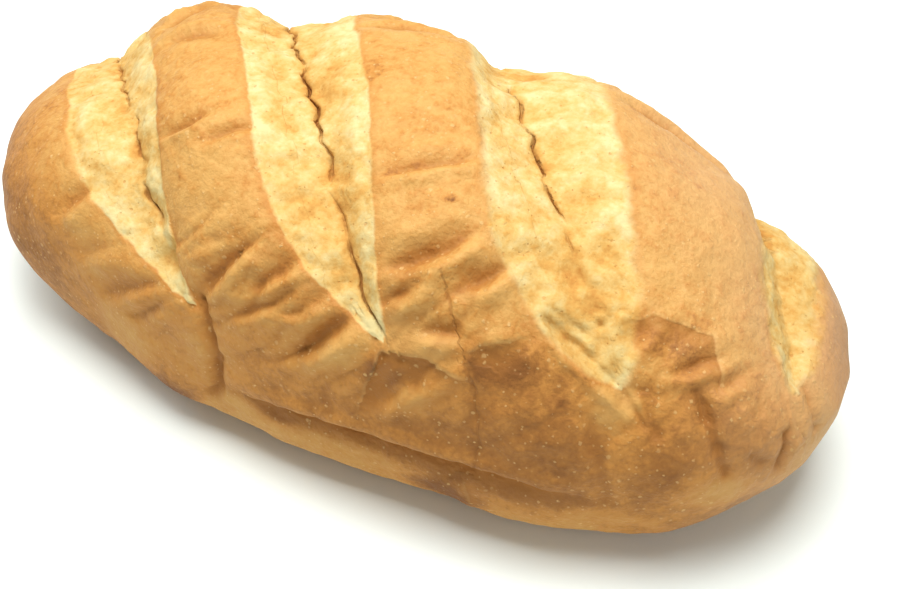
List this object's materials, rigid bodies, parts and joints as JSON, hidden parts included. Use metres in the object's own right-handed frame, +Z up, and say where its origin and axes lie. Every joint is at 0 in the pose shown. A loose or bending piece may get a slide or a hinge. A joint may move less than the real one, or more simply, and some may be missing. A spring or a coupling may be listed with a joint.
{
  "type": "vienna loaf",
  "caption": "Whole oval vienna loaf of white bread: browned crust with slanting cuts opened into pale bands, folds along its sides and a flat base to rest on.",
  "frame": {"origin": "middle of the flat base, under the middle of the loaf's box", "axes": "+X along the loaf's length, -Y towards the side with the folds and the waist crease, +Z up"},
  "size_m": [0.294, 0.144, 0.106],
  "materials": {
    "crust": "dry browned bread crust with pale bands of torn crust along the cuts"
  },
  "bodies": {
    "root": {"loaf": "crust"}
  },
  "joints": []
}
